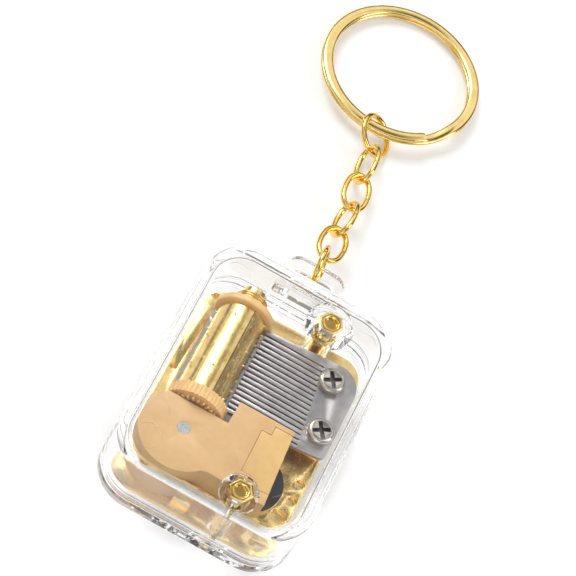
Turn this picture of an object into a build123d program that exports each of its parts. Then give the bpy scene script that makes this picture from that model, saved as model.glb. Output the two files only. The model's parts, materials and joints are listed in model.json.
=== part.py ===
from build123d import *
from math import atan2, cos, degrees, pi, radians, sin, sqrt
import os

# Key-chain cylinder music box, in millimetres.
# Origin: middle of the case's underside. +X towards the comb's screws, +Y towards the chain,
# +Z up through the clear cover.

# ---------------------------------------------------------------- clear case
CASE_W = 42.0
CASE_L = 56.0
CASE_H = 18.0
CASE_R = 9.0            # corner radius in plan
WALL = 2.0
ROOF_T = 2.0            # thickness of the cover's top
FLOOR_T = 2.0
SEAM_Z = 3.5            # where cover and base meet
FLANGE_H = 1.6          # band of the cover just above the seam
GROOVE_H = 0.6
GROOVE_D = 0.45
TOP_ROUND = 1.6
ROOF_ROUND = 1.2        # inside corner below the roof
FOOT_ROUND = 0.7
SEAM_BEVEL = 0.2
LIP_T = 0.7             # locating lip of the base inside the cover
LIP_H = 0.9
LIP_GAP = 0.1
LUG_W = 13.6
LUG_REACH = 8.4         # how far the lug stands out of the case
LUG_T = 3.2
LUG_Z = 9.0             # middle height of the lug
LUG_BAR = 2.6           # bar left beyond the slot
SLOT_W = 9.0
SLOT_L = 3.7
LUG_ROUND = 0.7
MARK_R = 2.7            # round ejector marks inside the cover
MARK_X = 14.4
MARK_Y = 20.5
MARK_D = 0.12

# ---------------------------------------------------------------- case screws
SCREW_AT = ((6.7, 20.8), (6.0, -21.8))
SCREW_R = 1.2
SCREW_HEAD_R = 2.2
SCREW_HEAD_H = 1.3
SCREW_HEAD_Z = 0.4
SCREW_CLEAR = 0.1
NUT_FLATS = 4.6
NUT_T = 2.0
NUT_SINK = 0.05         # nut top below the cover's top
POCKET_GAP = 0.05
BOSS_R = 2.7
BOSS_HEAD_R = (5.0, 4.0)
BOSS_HEAD_H = 3.0
WEB_T = 1.2             # web from the lower boss to the front wall
SCREW_END_DROP = 0.8    # screw end below the cover's top
SCREW_CROSS = (2.6, 0.55, 0.8)
NUT_BEVEL = 0.3

# ---------------------------------------------------------------- bedplate
BED_Z = 2.9
BED_T = 1.2
BED_TOP = BED_Z + BED_T
BED_GAP = 0.2           # to the base's lip
BED_Y0 = -24.6
BED_Y1 = 23.2
BED_R = 5.0
PAD_R = 3.4             # pads of the base under the bedplate
SMALL_PAD_AT = ((-13.5, 18.5), (13.5, -18.0), (13.5, 8.0))
WIDE_PIT_R = 1.05
WIDE_PIT_AT = ((16.5, -7.4), (16.5, -11.6))
SMALL_PIT_R = 0.7
SMALL_PIT_AT = ((12.6, -19.6), (13.2, -22.0), (-16.4, 2.1), (-15.6, 21.2))
PIT_D = 0.9
TAB_X = (-4.4, -0.8)    # bent-up tab of the bedplate in front of the housing
TAB_Y = -22.0
TAB_H = 3.4
POCKET_AT = (15.5, -16.0)
POCKET_SIZE = (3.4, 2.6)
POCKET_TURN = -10.0

# ---------------------------------------------------------------- cylinder
CYL_X = -9.1
CYL_RISE = 4.9          # cylinder axis above the barrel rim
CYL_R = 5.0
CYL_BORE_R = 4.6
CYL_Y0 = -4.6
CYL_Y1 = 16.7
SEAM_W = 0.2
SEAM_ANGLE = 17.5       # from straight up, towards the comb
CAP_R = 6.2
CAP_T = 1.5
CAP_PLUG = 1.0
RIB_COUNT = 42
RIB_D = 0.3
SHAFT_R = 0.6
RUN_GAP = 0.03          # radial clearance of every running fit
WINDOW_SIDE = 5.8       # half width of the bedplate's window under the cylinder
PIN_R = 0.34
PIN_REACH = 0.5
PIN_SLOPE = 20.0
PINS_PER_TRACK = 4
SPRING_COIL_R = 3.1
SPRING_WIRE_R = 0.25
SPRING_TURNS = 5.0
SPRING_PITCH = 0.56
BRACKET_T = 1.2
BRACKET_W = 5.0

# ---------------------------------------------------------------- comb
TEETH = 18
TEETH_PITCH = 1.15
COMB_T = 1.0
COMB_TOP_Y = 16.6
COMB_GAP = 0.05         # between the pin tips and the comb's tips
SLOT_CUT = 0.3
SLOT_TIP = 0.52         # slot width at the tips
SLOT_FLARE = 3.5        # length over which the slots widen
ROOT_X = 9.7            # slot ends, from the shortest to the longest tooth
ROOT_RUN = 2.5
TEETH_WINDOW = 3.8      # window in the bedplate under the free ends of the teeth
COMB_RIGHT = 18.0
COMB_SCREW_AT = ((12.4, 13.0), (14.9, 1.7))
COMB_HEAD_R = 2.8
COMB_HEAD_H = 1.7
COMB_SHANK_R = 1.2
COMB_SHANK_L = 4.5
COMB_HEAD_ROUND = 0.8
COMB_CROSS = (3.7, 0.85, 1.1)
COMB_CROSS_TURN = 32.0
PEDESTAL_X0 = 9.0
PEDESTAL_INSET = 0.9
WEIGHT_L = 3.2
WEIGHT_H = 1.4
WEIGHT_COUNT = 9

# ---------------------------------------------------------------- spring barrel and winding
BARREL_Y = -13.6
ARBOR_R = 1.3
RIM_TEETH = 36
RIM_PITCH_R = 6.1
RIM_CLEAR = 0.2         # barrel rim above the bedplate
RIM_T = 1.0
ADD = 0.27              # tooth height outside the pitch circle
DED = 0.35              # tooth depth inside the pitch circle
TOOTH_SHARE = 0.38      # share of the pitch that one tooth fills
HUB_R = 2.8
DRUM_RISE = 3.4         # drum above the barrel rim
DRUM_R = 4.6
DRUM_H = 3.8
DRUM_WALL = 0.4
SPRING_STRIP = 0.22
MAINSPRING_TURNS = 4
CROWN_TEETH = 27
CROWN_DEPTH = 0.65
CROWN_LENGTH = 0.9
KEY_POCKET_R = 9.0
KEY_POCKET_D = 1.7
KEY_ROOF_T = 1.1
KEY_Z = 0.85            # height of the folding key's pin
KEY_T = 1.1
KEY_HUB_R = 2.4
KEY_HUB_W = 3.6
KEY_GAP = 0.06
KEY_EAR_W = 1.2
KEY_R = 5.1
KEY_REACH = 8.5
KEY_PIN_R = 0.35

# ---------------------------------------------------------------- governor train
TRAIN_ARBOR_R = 0.45
PINION_C_TEETH = 9
WHEEL_C_TEETH = 18
PINION_B_TEETH = 10
TRAIN_MODULE = 0.36
WHEEL_C_RISE = 1.9      # wheel C above the barrel rim
WORM_WHEEL_TEETH = 24
WORM_WHEEL_R = 3.8
WORM_R = 0.9            # pitch radius
WORM_STARTS = 2
WORM_LEADS = 2          # length of the worm in leads
WORM_X = 7.3
WORM_RISE = 4.35        # governor shaft above the barrel rim
WORM_WHEEL_T = 1.1
TRAIN_ANGLE = -10.0     # direction from the barrel to wheel C
FLY_R = 2.1
FLY_T = 0.5
FLY_L = 3.8
FLY_SHAFT_R = 0.4
DISC_R = 6.7
DISC_AT = (7.5, -11.7)

# ---------------------------------------------------------------- governor housing
HOUSING_H = 8.7
PLATE_T = 1.0
HOUSING_WALL = 0.8
LOBE_R = 9.0
EDGE_Y = -7.95          # housing edge beside the crown gear
NOTCH_X = -2.0
OVERHANG_Y = -2.5       # top plate reaches over the comb's last tooth
HOUSING_RIGHT = 10.9
HOUSING_LEAN = 0.55     # right edge leans outwards by this towards the lower end
HOUSING_LOW_Y = -20.0
COMB_CLEAR = 0.5
LID_X = 4.4
LID_TAB_X = 6.5
LID_Y = (-5.6, -15.6)
LID_TAB_Y = (-3.5, -17.5)
LID_GAP = 0.06

# ---------------------------------------------------------------- chain and key ring
WIRE_R = 0.625
OVAL_L = 9.65           # wire centre to wire centre
OVAL_W = 5.55
ROUND_R = 4.45
CHAIN_SLACK = 0.14
LUG_RING_PLAY = 1.5     # lug ring's middle beyond the bar's middle
RING_OUTER = 18.0
RING_W = 2.4
RING_WIRE_T = 1.0
RING_GAP = 0.1
RING_JOG = (-52.0, -25.0)
RING_TILT = -3.7
RING_BEVEL = 0.28
RING_PLAY = 0.8

# worked out from the sizes above
INNER_W = CASE_W - 2 * WALL
INNER_L = CASE_L - 2 * WALL
INNER_R = CASE_R - WALL
ROOF_Z = CASE_H - ROOF_T
BED_X = INNER_W / 2 - LIP_GAP - LIP_T - BED_GAP
RIM_Z = BED_TOP + RIM_CLEAR
DRUM_Z = RIM_Z + DRUM_RISE
WHEEL_C_Z = RIM_Z + WHEEL_C_RISE
WORM_Z = RIM_Z + WORM_RISE
CYL_Z = RIM_Z + CYL_RISE
COMB_Z = CYL_Z - COMB_T / 2
HOUSING_TOP = BED_TOP + HOUSING_H
CYL_TIP_R = CYL_R + PIN_REACH
COMB_TIP_X = CYL_X + CYL_TIP_R + COMB_GAP
COMB_LOW_Y = COMB_TOP_Y - TEETH * TEETH_PITCH
GEAR_Y = CYL_Y0 - 2.5
CROWN_R = RIM_PITCH_R * CROWN_TEETH / RIM_TEETH
PLATE_Z = HOUSING_TOP - PLATE_T
RIM_MODULE = 2 * RIM_PITCH_R / RIM_TEETH
C_X = CYL_X + (RIM_PITCH_R + RIM_MODULE * PINION_C_TEETH / 2) * cos(radians(TRAIN_ANGLE))
C_Y = BARREL_Y + (RIM_PITCH_R + RIM_MODULE * PINION_C_TEETH / 2) * sin(radians(TRAIN_ANGLE))
B_X = WORM_X - WORM_R - WORM_WHEEL_R
CB_DISTANCE = TRAIN_MODULE * (WHEEL_C_TEETH + PINION_B_TEETH) / 2
B_Y = C_Y + sqrt(CB_DISTANCE ** 2 - (B_X - C_X) ** 2)
CB_ANGLE = degrees(atan2(B_Y - C_Y, B_X - C_X))
WORM_PITCH = 2 * pi * WORM_WHEEL_R / WORM_WHEEL_TEETH
WORM_LEAD = WORM_PITCH * WORM_STARTS
WORM_SLOPE = degrees(atan2(WORM_LEAD, 2 * pi * WORM_R))
FLY_TOP_Y = COMB_LOW_Y - COMB_CLEAR - HOUSING_WALL
SHAFT_LOW_Y = -17.4

os.makedirs("parts", exist_ok=True)


def save(shape, name):
    """Label a finished piece and write it as one STEP file."""
    shape.label = name
    export_step(shape, f"parts/{name}.step")


def slab(width, length, radius, z0, z1, mode=Mode.ADD):
    """Rounded rectangular block around the Z axis, from z0 to z1."""
    with BuildSketch(Plane.XY.offset(z0)) as face:
        RectangleRounded(width, length, radius)
    extrude(face.sketch, amount=z1 - z0, mode=mode)


def disc(x, y, radius, z0, z1, mode=Mode.ADD):
    """Upright cylinder from z0 to z1."""
    with BuildSketch(Plane.XY.offset(z0)) as face:
        with Locations((x, y)):
            Circle(radius)
    extrude(face.sketch, amount=z1 - z0, mode=mode)


def rod_y(x, z, radius, y0, y1, mode=Mode.ADD):
    """Cylinder along Y from y0 to y1."""
    with BuildSketch(Plane(origin=(x, y0, z), x_dir=(1, 0, 0), z_dir=(0, 1, 0))) as face:
        Circle(radius)
    extrude(face.sketch, amount=y1 - y0, mode=mode)


def block(x0, x1, y0, y1, z0, z1, mode=Mode.ADD):
    """Square block between two corners."""
    with Locations(((x0 + x1) / 2, (y0 + y1) / 2, (z0 + z1) / 2)):
        Box(x1 - x0, y1 - y0, z1 - z0, mode=mode)


def gear_teeth(teeth, pitch_r, phase):
    """Root disc and straight-sided teeth of a spur gear, in the sketch being built."""
    half = pi * pitch_r / teeth * TOOTH_SHARE
    root = pitch_r - DED
    tip = pitch_r + ADD
    Circle(root)
    with PolarLocations(0, teeth, start_angle=phase):
        Polygon(
            (root - 0.1, -1.2 * half), (tip, -0.6 * half), (tip, 0.6 * half), (root - 0.1, 1.2 * half),
            align=None,
        )


def mesh_phase(phase, teeth, other_teeth, direction):
    """Phase of the other gear, which lies in the given direction, so that the two mesh."""
    step = 360 / teeth
    other_step = 360 / other_teeth
    fraction = (direction - phase) / step
    return direction + 180 - other_step * (0.5 - fraction)


# ================================================================ cover shell
BOSS_BOTTOM = BED_TOP

with BuildPart() as cover_shell:
    slab(CASE_W, CASE_L, CASE_R, SEAM_Z, CASE_H)
    fillet(cover_shell.edges().group_by(Axis.Z)[-1], radius=TOP_ROUND)
    chamfer(cover_shell.edges().group_by(Axis.Z)[0], length=SEAM_BEVEL)
    with BuildPart(mode=Mode.SUBTRACT) as cavity:
        slab(INNER_W, INNER_L, INNER_R, SEAM_Z, ROOF_Z)
        fillet(cavity.edges().group_by(Axis.Z)[-1], radius=ROOF_ROUND)
    # groove above the flange
    with BuildSketch(Plane.XY.offset(SEAM_Z + FLANGE_H)):
        RectangleRounded(CASE_W + 1, CASE_L + 1, CASE_R + 0.5)
        RectangleRounded(CASE_W - 2 * GROOVE_D, CASE_L - 2 * GROOVE_D, CASE_R - GROOVE_D,
                         mode=Mode.SUBTRACT)
    extrude(amount=GROOVE_H, mode=Mode.SUBTRACT)
    # bosses for the case screws
    for (boss_x, boss_y), head_r in zip(SCREW_AT, BOSS_HEAD_R):
        disc(boss_x, boss_y, BOSS_R, BOSS_BOTTOM, ROOF_Z + 0.5)
        with BuildSketch(Plane.XY.offset(ROOF_Z - BOSS_HEAD_H)):
            with Locations((boss_x, boss_y)):
                Circle(BOSS_R)
        with BuildSketch(Plane.XY.offset(ROOF_Z - BOSS_HEAD_H / 3)):
            with Locations((boss_x, boss_y)):
                Circle(head_r)
        loft()
        disc(boss_x, boss_y, head_r, ROOF_Z - BOSS_HEAD_H / 3, ROOF_Z + 0.5)
    # web from the lower boss to the front wall
    block(SCREW_AT[1][0] - WEB_T / 2, SCREW_AT[1][0] + WEB_T / 2, -INNER_L / 2 - 0.5, SCREW_AT[1][1] - BOSS_R + 0.4,
          BED_TOP + 1.0, ROOF_Z + 0.5)
    # lug
    with BuildSketch(Plane.XY.offset(LUG_Z - LUG_T / 2)) as lug_outline:
        with Locations((0, CASE_L / 2 + LUG_REACH / 2 - 1)):
            Rectangle(LUG_W, LUG_REACH + 2)
        fillet(lug_outline.vertices().group_by(Axis.Y)[-1], radius=LUG_W / 4)
    extrude(amount=LUG_T)
    lug_front = CASE_L / 2 + 1
    lug_rim = cover_shell.edges().filter_by(
        lambda edge: edge.center().Y > lug_front and abs(abs(edge.center().Z - LUG_Z) - LUG_T / 2) < 0.01)
    fillet(lug_rim, radius=LUG_ROUND)
    with BuildSketch(Plane.XY.offset(LUG_Z - LUG_T)):
        with Locations((0, CASE_L / 2 + LUG_REACH - LUG_BAR - SLOT_L / 2)):
            RectangleRounded(SLOT_W, SLOT_L, SLOT_L / 2 - 0.3)
    extrude(amount=2 * LUG_T, mode=Mode.SUBTRACT)
    # screw bores and hexagonal nut pockets
    for boss_x, boss_y in SCREW_AT:
        disc(boss_x, boss_y, SCREW_R + SCREW_CLEAR, BOSS_BOTTOM - 1, CASE_H + 1, mode=Mode.SUBTRACT)
        with BuildSketch(Plane.XY.offset(CASE_H - NUT_SINK - NUT_T)):
            with Locations((boss_x, boss_y)):
                RegularPolygon(NUT_FLATS / 2 + POCKET_GAP, 6, major_radius=False)
        extrude(amount=NUT_T + 1, mode=Mode.SUBTRACT)
    # shallow ejector marks inside the top
    for mark_x in (-MARK_X, MARK_X):
        for mark_y in (-MARK_Y, MARK_Y):
            disc(mark_x, mark_y, MARK_R, ROOF_Z - 0.01, ROOF_Z + MARK_D, mode=Mode.SUBTRACT)
save(cover_shell.part, "cover_shell")

# ================================================================ base tray
KEY_ROOF_Z = KEY_POCKET_D + KEY_ROOF_T
with BuildPart() as base_tray:
    slab(CASE_W, CASE_L, CASE_R, 0, SEAM_Z)
    fillet(base_tray.edges().group_by(Axis.Z)[0], radius=FOOT_ROUND)
    chamfer(base_tray.edges().group_by(Axis.Z)[-1], length=SEAM_BEVEL)
    slab(INNER_W - 2 * LIP_GAP, INNER_L - 2 * LIP_GAP, INNER_R - LIP_GAP, SEAM_Z - 1, SEAM_Z + LIP_H)
    lip_in = LIP_GAP + LIP_T
    slab(INNER_W - 2 * lip_in, INNER_L - 2 * lip_in, INNER_R - lip_in, FLOOR_T, SEAM_Z + LIP_H + 1,
         mode=Mode.SUBTRACT)
    disc(CYL_X, BARREL_Y, KEY_POCKET_R + 0.6, FLOOR_T - 0.5, KEY_ROOF_Z)
    for pad_x, pad_y in SCREW_AT:
        disc(pad_x, pad_y, PAD_R, FLOOR_T - 0.5, BED_Z)
    for pad_x, pad_y in SMALL_PAD_AT:
        disc(pad_x, pad_y, PAD_R / 2, FLOOR_T - 0.5, BED_Z)
    disc(CYL_X, BARREL_Y, KEY_POCKET_R, -1, KEY_POCKET_D, mode=Mode.SUBTRACT)
    disc(CYL_X, BARREL_Y, ARBOR_R + RUN_GAP, 0, KEY_ROOF_Z + 1, mode=Mode.SUBTRACT)
    for hole_x, hole_y in SCREW_AT:
        disc(hole_x, hole_y, SCREW_R + SCREW_CLEAR, -1, BED_Z + 1, mode=Mode.SUBTRACT)
        disc(hole_x, hole_y, SCREW_HEAD_R + SCREW_CLEAR, -1, SCREW_HEAD_Z + SCREW_HEAD_H,
             mode=Mode.SUBTRACT)
save(base_tray.part, "base_tray")

# ================================================================ case screws and nuts
with BuildPart() as case_screws:
    for screw_x, screw_y in SCREW_AT:
        head_top = SCREW_HEAD_Z + SCREW_HEAD_H
        disc(screw_x, screw_y, SCREW_HEAD_R, SCREW_HEAD_Z, head_top)
        disc(screw_x, screw_y, SCREW_R, head_top, CASE_H - SCREW_END_DROP)
        for slot_turn in (0, 90):
            with BuildSketch(Plane.XY.offset(SCREW_HEAD_Z)):
                with Locations(Location((screw_x, screw_y), slot_turn)):
                    Rectangle(SCREW_CROSS[0], SCREW_CROSS[1])
            extrude(amount=SCREW_CROSS[2], mode=Mode.SUBTRACT)
save(case_screws.part, "case_screws")

with BuildPart() as case_nuts:
    with BuildSketch(Plane.XY.offset(CASE_H - NUT_SINK - NUT_T)):
        with Locations(*SCREW_AT):
            RegularPolygon(NUT_FLATS / 2, 6, major_radius=False)
    extrude(amount=NUT_T)
    chamfer(case_nuts.edges().group_by(Axis.Z)[-1], length=0.2)
    for nut_x, nut_y in SCREW_AT:
        disc(nut_x, nut_y, SCREW_R, 0, CASE_H, mode=Mode.SUBTRACT)
    chamfer(case_nuts.edges().filter_by(GeomType.CIRCLE).group_by(Axis.Z)[-1], length=NUT_BEVEL)
save(case_nuts.part, "case_nuts")

# ================================================================ bedplate
with BuildPart() as bedplate:
    with BuildSketch(Plane.XY.offset(BED_Z)) as bed_outline:
        with Locations((0, (BED_Y0 + BED_Y1) / 2)):
            RectangleRounded(2 * BED_X, BED_Y1 - BED_Y0, BED_R)
    extrude(amount=BED_T)
    # pedestal that carries the comb
    block(PEDESTAL_X0 + 4, COMB_RIGHT - PEDESTAL_INSET, COMB_LOW_Y + 3.2, COMB_TOP_Y - 2.5,
          BED_TOP - 0.5, COMB_Z)
    block(PEDESTAL_X0, COMB_RIGHT - PEDESTAL_INSET - 2, COMB_LOW_Y + 4.0, COMB_TOP_Y - 1.2,
          BED_TOP - 0.5, COMB_Z)
    # bent-up tab
    block(*TAB_X, TAB_Y - BED_T, TAB_Y, BED_TOP - 0.5, BED_TOP + TAB_H)
    # window under the cylinder
    block(CYL_X - WINDOW_SIDE, CYL_X + WINDOW_SIDE, GEAR_Y - CROWN_DEPTH - 0.3,
          CYL_Y1 + CAP_T + 0.6, BED_Z - 1, BED_TOP + 1, mode=Mode.SUBTRACT)
    block(CYL_X, COMB_TIP_X + TEETH_WINDOW, COMB_LOW_Y + 0.6, COMB_TOP_Y, BED_Z - 1, BED_TOP + 1,
          mode=Mode.SUBTRACT)
    # round opening for the dark disc, arbor hole and screw holes
    disc(*DISC_AT, DISC_R, BED_Z - 1, BED_TOP + 1, mode=Mode.SUBTRACT)
    disc(CYL_X, BARREL_Y, ARBOR_R + RUN_GAP, BED_Z - 1, BED_TOP + 1, mode=Mode.SUBTRACT)
    for hole_x, hole_y in SCREW_AT:
        disc(hole_x, hole_y, SCREW_R + SCREW_CLEAR, BED_Z - 1, BED_TOP + 1, mode=Mode.SUBTRACT)
    for places, pit_r in ((WIDE_PIT_AT, WIDE_PIT_R), (SMALL_PIT_AT, SMALL_PIT_R)):
        for hole_x, hole_y in places:
            disc(hole_x, hole_y, pit_r, BED_TOP - PIT_D, BED_TOP + 1, mode=Mode.SUBTRACT)
    with BuildSketch(Plane.XY.offset(BED_TOP - PIT_D)):
        with Locations(Location(POCKET_AT, POCKET_TURN)):
            RectangleRounded(*POCKET_SIZE, POCKET_SIZE[1] / 3)
    extrude(amount=PIT_D + 1, mode=Mode.SUBTRACT)
    for hole_x, hole_y in COMB_SCREW_AT:
        disc(hole_x, hole_y, COMB_SHANK_R, COMB_Z + COMB_T - COMB_SHANK_L, COMB_Z + 1, mode=Mode.SUBTRACT)
    # lower pivot of wheel C
    disc(C_X, C_Y, TRAIN_ARBOR_R + RUN_GAP, BED_Z + 0.4, BED_TOP + 1, mode=Mode.SUBTRACT)
save(bedplate.part, "bedplate")

with BuildPart() as governor_floor:
    disc(*DISC_AT, DISC_R, BED_Z + 0.1, BED_TOP - 0.1)
    disc(B_X, B_Y, TRAIN_ARBOR_R + RUN_GAP, BED_Z + 0.4, BED_TOP + 1, mode=Mode.SUBTRACT)
save(governor_floor.part, "governor_floor")

# ================================================================ comb, its weights and screws
with BuildPart() as comb:
    with BuildSketch(Plane.XY.offset(COMB_Z)) as comb_outline:
        with BuildLine():
            Polyline(
                (COMB_TIP_X, COMB_LOW_Y), (12.5, COMB_LOW_Y + 0.4), (COMB_RIGHT, COMB_LOW_Y + 1.0),
                (COMB_RIGHT, COMB_TOP_Y + 1.5), (COMB_TIP_X, COMB_TOP_Y), close=True,
            )
        make_face()
        fillet(comb_outline.vertices().group_by(Axis.X)[-1].sort_by(Axis.Y)[-1], radius=5.0)
        fillet(comb_outline.vertices().group_by(Axis.X)[-1].sort_by(Axis.Y)[0], radius=1.5)
        for tooth in range(1, TEETH):
            slot_y = COMB_TOP_Y - tooth * TEETH_PITCH
            root_x = ROOT_X + ROOT_RUN * tooth / TEETH
            flare_x = COMB_TIP_X + SLOT_FLARE
            Polygon(
                (COMB_TIP_X - 0.1, slot_y - SLOT_TIP / 2), (flare_x, slot_y - SLOT_CUT / 2),
                (root_x, slot_y - SLOT_CUT / 2), (root_x, slot_y + SLOT_CUT / 2),
                (flare_x, slot_y + SLOT_CUT / 2), (COMB_TIP_X - 0.1, slot_y + SLOT_TIP / 2),
                align=None, mode=Mode.SUBTRACT,
            )
        with Locations(*COMB_SCREW_AT):
            Circle(COMB_SHANK_R, mode=Mode.SUBTRACT)
    extrude(amount=COMB_T)
save(comb.part, "comb")

with BuildPart() as comb_weights:
    for tooth in range(WEIGHT_COUNT):
        weight_y = COMB_TOP_Y - (tooth + 0.5) * TEETH_PITCH
        weight_l = WEIGHT_L * (1 - 0.06 * tooth)
        block(COMB_TIP_X + 0.35, COMB_TIP_X + 0.35 + weight_l, weight_y - 0.3, weight_y + 0.3,
              COMB_Z - WEIGHT_H, COMB_Z)
save(comb_weights.part, "comb_weights")

with BuildPart() as comb_screws:
    for screw_x, screw_y in COMB_SCREW_AT:
        head_z = COMB_Z + COMB_T
        disc(screw_x, screw_y, COMB_HEAD_R, head_z, head_z + COMB_HEAD_H)
    fillet(comb_screws.edges().group_by(Axis.Z)[-1], radius=COMB_HEAD_ROUND)
    for screw_x, screw_y in COMB_SCREW_AT:
        disc(screw_x, screw_y, COMB_SHANK_R, COMB_Z + COMB_T - COMB_SHANK_L + 0.2, head_z)
        for slot_turn in (COMB_CROSS_TURN, COMB_CROSS_TURN + 90):
            with BuildSketch(Plane.XY.offset(head_z + COMB_HEAD_H)):
                with Locations(Location((screw_x, screw_y), slot_turn)):
                    Rectangle(COMB_CROSS[0], COMB_CROSS[1])
            extrude(amount=-COMB_CROSS[2], mode=Mode.SUBTRACT)
save(comb_screws.part, "comb_screws")

# ================================================================ cylinder
SPRING_L = SPRING_TURNS * SPRING_PITCH + 2 * SPRING_WIRE_R
SPRING_GAP = 0.05
BRACKET_Y = CYL_Y1 + CAP_T + SPRING_L + 3 * SPRING_GAP
cylinder_plane = Plane(origin=(CYL_X, CYL_Y0, CYL_Z), x_dir=(0, 0, 1), z_dir=(0, 1, 0))

with BuildPart() as cylinder:
    with BuildSketch(cylinder_plane):
        Circle(CYL_R)
    extrude(amount=CYL_Y1 - CYL_Y0)
    # a hairline groove where the rolled sheet meets
    with BuildSketch(cylinder_plane) as seam_cut:
        with Locations(Location((0, 0), SEAM_ANGLE)):
            with Locations((CYL_R, 0)):
                Rectangle(0.3, SEAM_W)
    extrude(amount=CYL_Y1 - CYL_Y0, mode=Mode.SUBTRACT)
    # the raised points that pluck the comb, a few on each tooth's track
    for track in range(TEETH):
        track_y = COMB_TOP_Y - (track + 0.5) * TEETH_PITCH
        for note in range(PINS_PER_TRACK):
            turn = (note * 360 / PINS_PER_TRACK + track * track * 23 + note * note * 17) % 360
            if abs(turn - SEAM_ANGLE) > 6 and CYL_Y0 + 0.4 < track_y < CYL_Y1 - 0.4:
                outward = Vector(sin(radians(turn)), 0, cos(radians(turn)))
                foot = Vector(CYL_X, track_y, CYL_Z) + outward * (CYL_R - 0.2)
                with BuildSketch(Plane(origin=foot, x_dir=(0, 1, 0), z_dir=outward)):
                    Circle(PIN_R)
                extrude(amount=PIN_REACH + 0.2, taper=PIN_SLOPE)
    with BuildSketch(cylinder_plane):
        Circle(CYL_BORE_R)
    extrude(amount=CYL_Y1 - CYL_Y0, mode=Mode.SUBTRACT)
save(cylinder.part, "cylinder")

with BuildPart() as cylinder_cap:
    rod_y(CYL_X, CYL_Z, CAP_R, CYL_Y1, CYL_Y1 + CAP_T)
    chamfer(cylinder_cap.edges(), length=0.25)
    rod_y(CYL_X, CYL_Z, CYL_BORE_R, CYL_Y1 - CAP_PLUG, CYL_Y1)
    rod_y(CYL_X, CYL_Z, SHAFT_R, CYL_Y1 - 2, CYL_Y1 + CAP_T + 1, mode=Mode.SUBTRACT)
save(cylinder_cap.part, "cylinder_cap")

with BuildPart() as cylinder_gear:
    rod_y(CYL_X, CYL_Z, CAP_R, GEAR_Y, CYL_Y0)
    with BuildSketch(Plane(origin=(CYL_X, GEAR_Y, CYL_Z), x_dir=(1, 0, 0), z_dir=(0, 1, 0))):
        with PolarLocations(CAP_R + 0.05, RIB_COUNT):
            Circle(RIB_D)
    extrude(amount=CYL_Y0 - GEAR_Y, mode=Mode.SUBTRACT)
    rod_y(CYL_X, CYL_Z, CYL_BORE_R, CYL_Y0, CYL_Y0 + CAP_PLUG)
    # crown teeth on the lower face, with a gap where the barrel's tooth stands
    crown_half = pi * CROWN_R / CROWN_TEETH * TOOTH_SHARE
    with BuildSketch(Plane(origin=(CYL_X, GEAR_Y - CROWN_DEPTH, CYL_Z), x_dir=(0, 0, -1),
                           z_dir=(0, 1, 0))):
        with PolarLocations(CROWN_R, CROWN_TEETH, start_angle=180 / CROWN_TEETH):
            Rectangle(CROWN_LENGTH, 2 * crown_half)
    extrude(amount=CROWN_DEPTH + 0.2)
    rod_y(CYL_X, CYL_Z, SHAFT_R, GEAR_Y - 1, CYL_Y0 + 2, mode=Mode.SUBTRACT)
save(cylinder_gear.part, "cylinder_gear")

with BuildPart() as cylinder_shaft:
    rod_y(CYL_X, CYL_Z, SHAFT_R, EDGE_Y - HOUSING_WALL + 0.1, BRACKET_Y + BRACKET_T + 0.2)
save(cylinder_shaft.part, "cylinder_shaft")

# wound upright, then laid along the shaft
with BuildPart() as end_spring:
    with BuildLine() as coil_path:
        Helix(pitch=SPRING_PITCH, height=SPRING_TURNS * SPRING_PITCH, radius=SPRING_COIL_R)
    with BuildSketch(Plane(origin=coil_path.line @ 0, z_dir=coil_path.line % 0)):
        Circle(SPRING_WIRE_R)
    sweep(path=coil_path.line, is_frenet=True)
coil_start = CYL_Y1 + CAP_T + SPRING_WIRE_R + SPRING_GAP
coil_plane = Plane(origin=(CYL_X, coil_start, CYL_Z), x_dir=(1, 0, 0), z_dir=(0, 1, 0))
save(coil_plane * end_spring.part, "end_spring")

with BuildPart() as cylinder_bracket:
    block(CYL_X - BRACKET_W / 2, CYL_X + BRACKET_W / 2, BRACKET_Y, BRACKET_Y + BRACKET_T,
          BED_TOP, CYL_Z)
    rod_y(CYL_X, CYL_Z, BRACKET_W / 2, BRACKET_Y, BRACKET_Y + BRACKET_T)
    rod_y(CYL_X, CYL_Z, SHAFT_R + RUN_GAP, BRACKET_Y - 1, BRACKET_Y + BRACKET_T + 1, mode=Mode.SUBTRACT)
save(cylinder_bracket.part, "cylinder_bracket")

# ================================================================ barrel and winding
with BuildPart() as spring_barrel:
    with BuildSketch(Plane.XY.offset(RIM_Z)):
        with Locations((CYL_X, BARREL_Y)):
            Circle(RIM_PITCH_R - DED)
        with Locations(Location((CYL_X, BARREL_Y))):
            gear_teeth(RIM_TEETH, RIM_PITCH_R, 0)
    extrude(amount=RIM_T)
    disc(CYL_X, BARREL_Y, HUB_R, RIM_Z + RIM_T, DRUM_Z)
    disc(CYL_X, BARREL_Y, DRUM_R, DRUM_Z, DRUM_Z + DRUM_H)
    disc(CYL_X, BARREL_Y, DRUM_R - DRUM_WALL, DRUM_Z + DRUM_WALL, DRUM_Z + DRUM_H + 1, mode=Mode.SUBTRACT)
    disc(CYL_X, BARREL_Y, ARBOR_R + RUN_GAP, RIM_Z - 1, DRUM_Z + 1, mode=Mode.SUBTRACT)
save(spring_barrel.part, "spring_barrel")

with BuildPart() as barrel_lid:
    lid_z = DRUM_Z + DRUM_H - DRUM_WALL
    disc(CYL_X, BARREL_Y, DRUM_R - DRUM_WALL, lid_z, lid_z + DRUM_WALL)
    disc(CYL_X, BARREL_Y, ARBOR_R + RUN_GAP, lid_z - 1, lid_z + 1, mode=Mode.SUBTRACT)
save(barrel_lid.part, "barrel_lid")

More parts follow.
